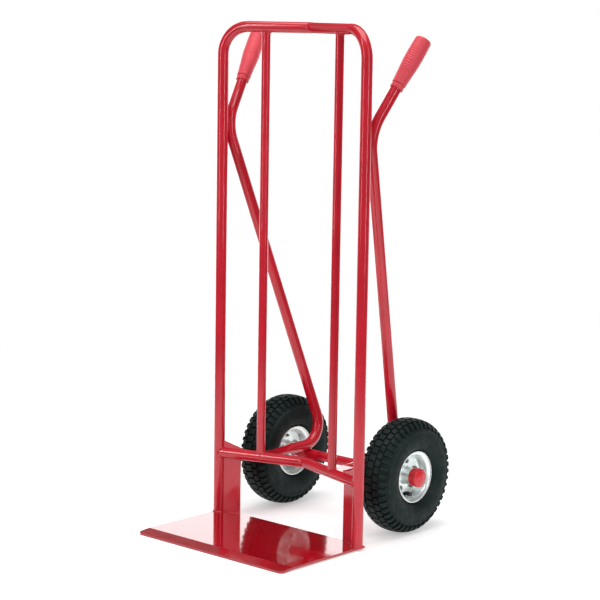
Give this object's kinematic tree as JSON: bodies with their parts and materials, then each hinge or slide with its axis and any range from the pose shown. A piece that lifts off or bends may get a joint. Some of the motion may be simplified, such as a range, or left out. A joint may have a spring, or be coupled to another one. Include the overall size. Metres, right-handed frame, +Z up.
{
  "type": "hand truck",
  "caption": "Upright hand truck with a welded round-tube back frame, a flat toe plate, raked grip handles and pneumatic wheels on a rear axle.",
  "frame": {"origin": "centre of the footprint, on the floor the wheels and the toe plate's front edge rest on", "axes": "+X towards the truck's right as seen from in front of the toe plate, +Y to the rear where the wheels and handles are, +Z up"},
  "size_m": [0.524, 0.577, 1.1375],
  "materials": {
    "red_paint": "gloss",
    "red_grip": "matte",
    "red_cap": "gloss",
    "tyre_rubber": "matte",
    "tube_rubber": "matte",
    "valve_rubber": "satin",
    "black_plastic": "satin",
    "rim_zinc": "bright zinc plate",
    "plated_steel": "satin",
    "bearing_steel": "polished"
  },
  "bodies": {
    "frame": {"frame_hoop": "red_paint", "cross_member": "red_paint", "toe_plate": "red_paint", "axle_tube": "red_paint", "axle_shaft": "plated_steel", "inner_bar_left": "red_paint", "gusset_left": "red_paint", "cross_web_left": "red_paint", "handle_tube_left": "red_paint", "grip_left": "red_grip", "bearing_inner_rings_left": "bearing_steel", "hub_spacer_left": "plated_steel", "hub_washers_left": "plated_steel", "axle_nut_left": "plated_steel", "inner_bar_right": "red_paint", "gusset_right": "red_paint", "cross_web_right": "red_paint", "handle_tube_right": "red_paint", "grip_right": "red_grip", "bearing_inner_rings_right": "bearing_steel", "hub_spacer_right": "plated_steel", "hub_washers_right": "plated_steel", "axle_nut_right": "plated_steel"},
    "wheel_left": {"tyre_left": "tyre_rubber", "inner_tube_left": "tube_rubber", "rim_outer_left": "rim_zinc", "rim_inner_left": "rim_zinc", "rim_bolts_left": "plated_steel", "rim_nuts_left": "plated_steel", "bearing_outer_rings_left": "bearing_steel", "bearing_balls_left": "bearing_steel", "valve_left": "valve_rubber", "valve_cap_left": "black_plastic", "hub_cap_left": "red_cap"},
    "wheel_right": {"tyre_right": "tyre_rubber", "inner_tube_right": "tube_rubber", "rim_outer_right": "rim_zinc", "rim_inner_right": "rim_zinc", "rim_bolts_right": "plated_steel", "rim_nuts_right": "plated_steel", "bearing_outer_rings_right": "bearing_steel", "bearing_balls_right": "bearing_steel", "valve_right": "valve_rubber", "valve_cap_right": "black_plastic", "hub_cap_right": "red_cap"}
  },
  "joints": [
    {"name": "wheel_left_spin", "type": "hinge", "parent": "frame", "child": "wheel_left", "pos_m": [-0.1825, 0.1585, 0.13], "axis": [1, 0, 0], "continuous": true},
    {"name": "wheel_right_spin", "type": "hinge", "parent": "frame", "child": "wheel_right", "pos_m": [0.1825, 0.1585, 0.13], "axis": [1, 0, 0], "continuous": true}
  ]
}
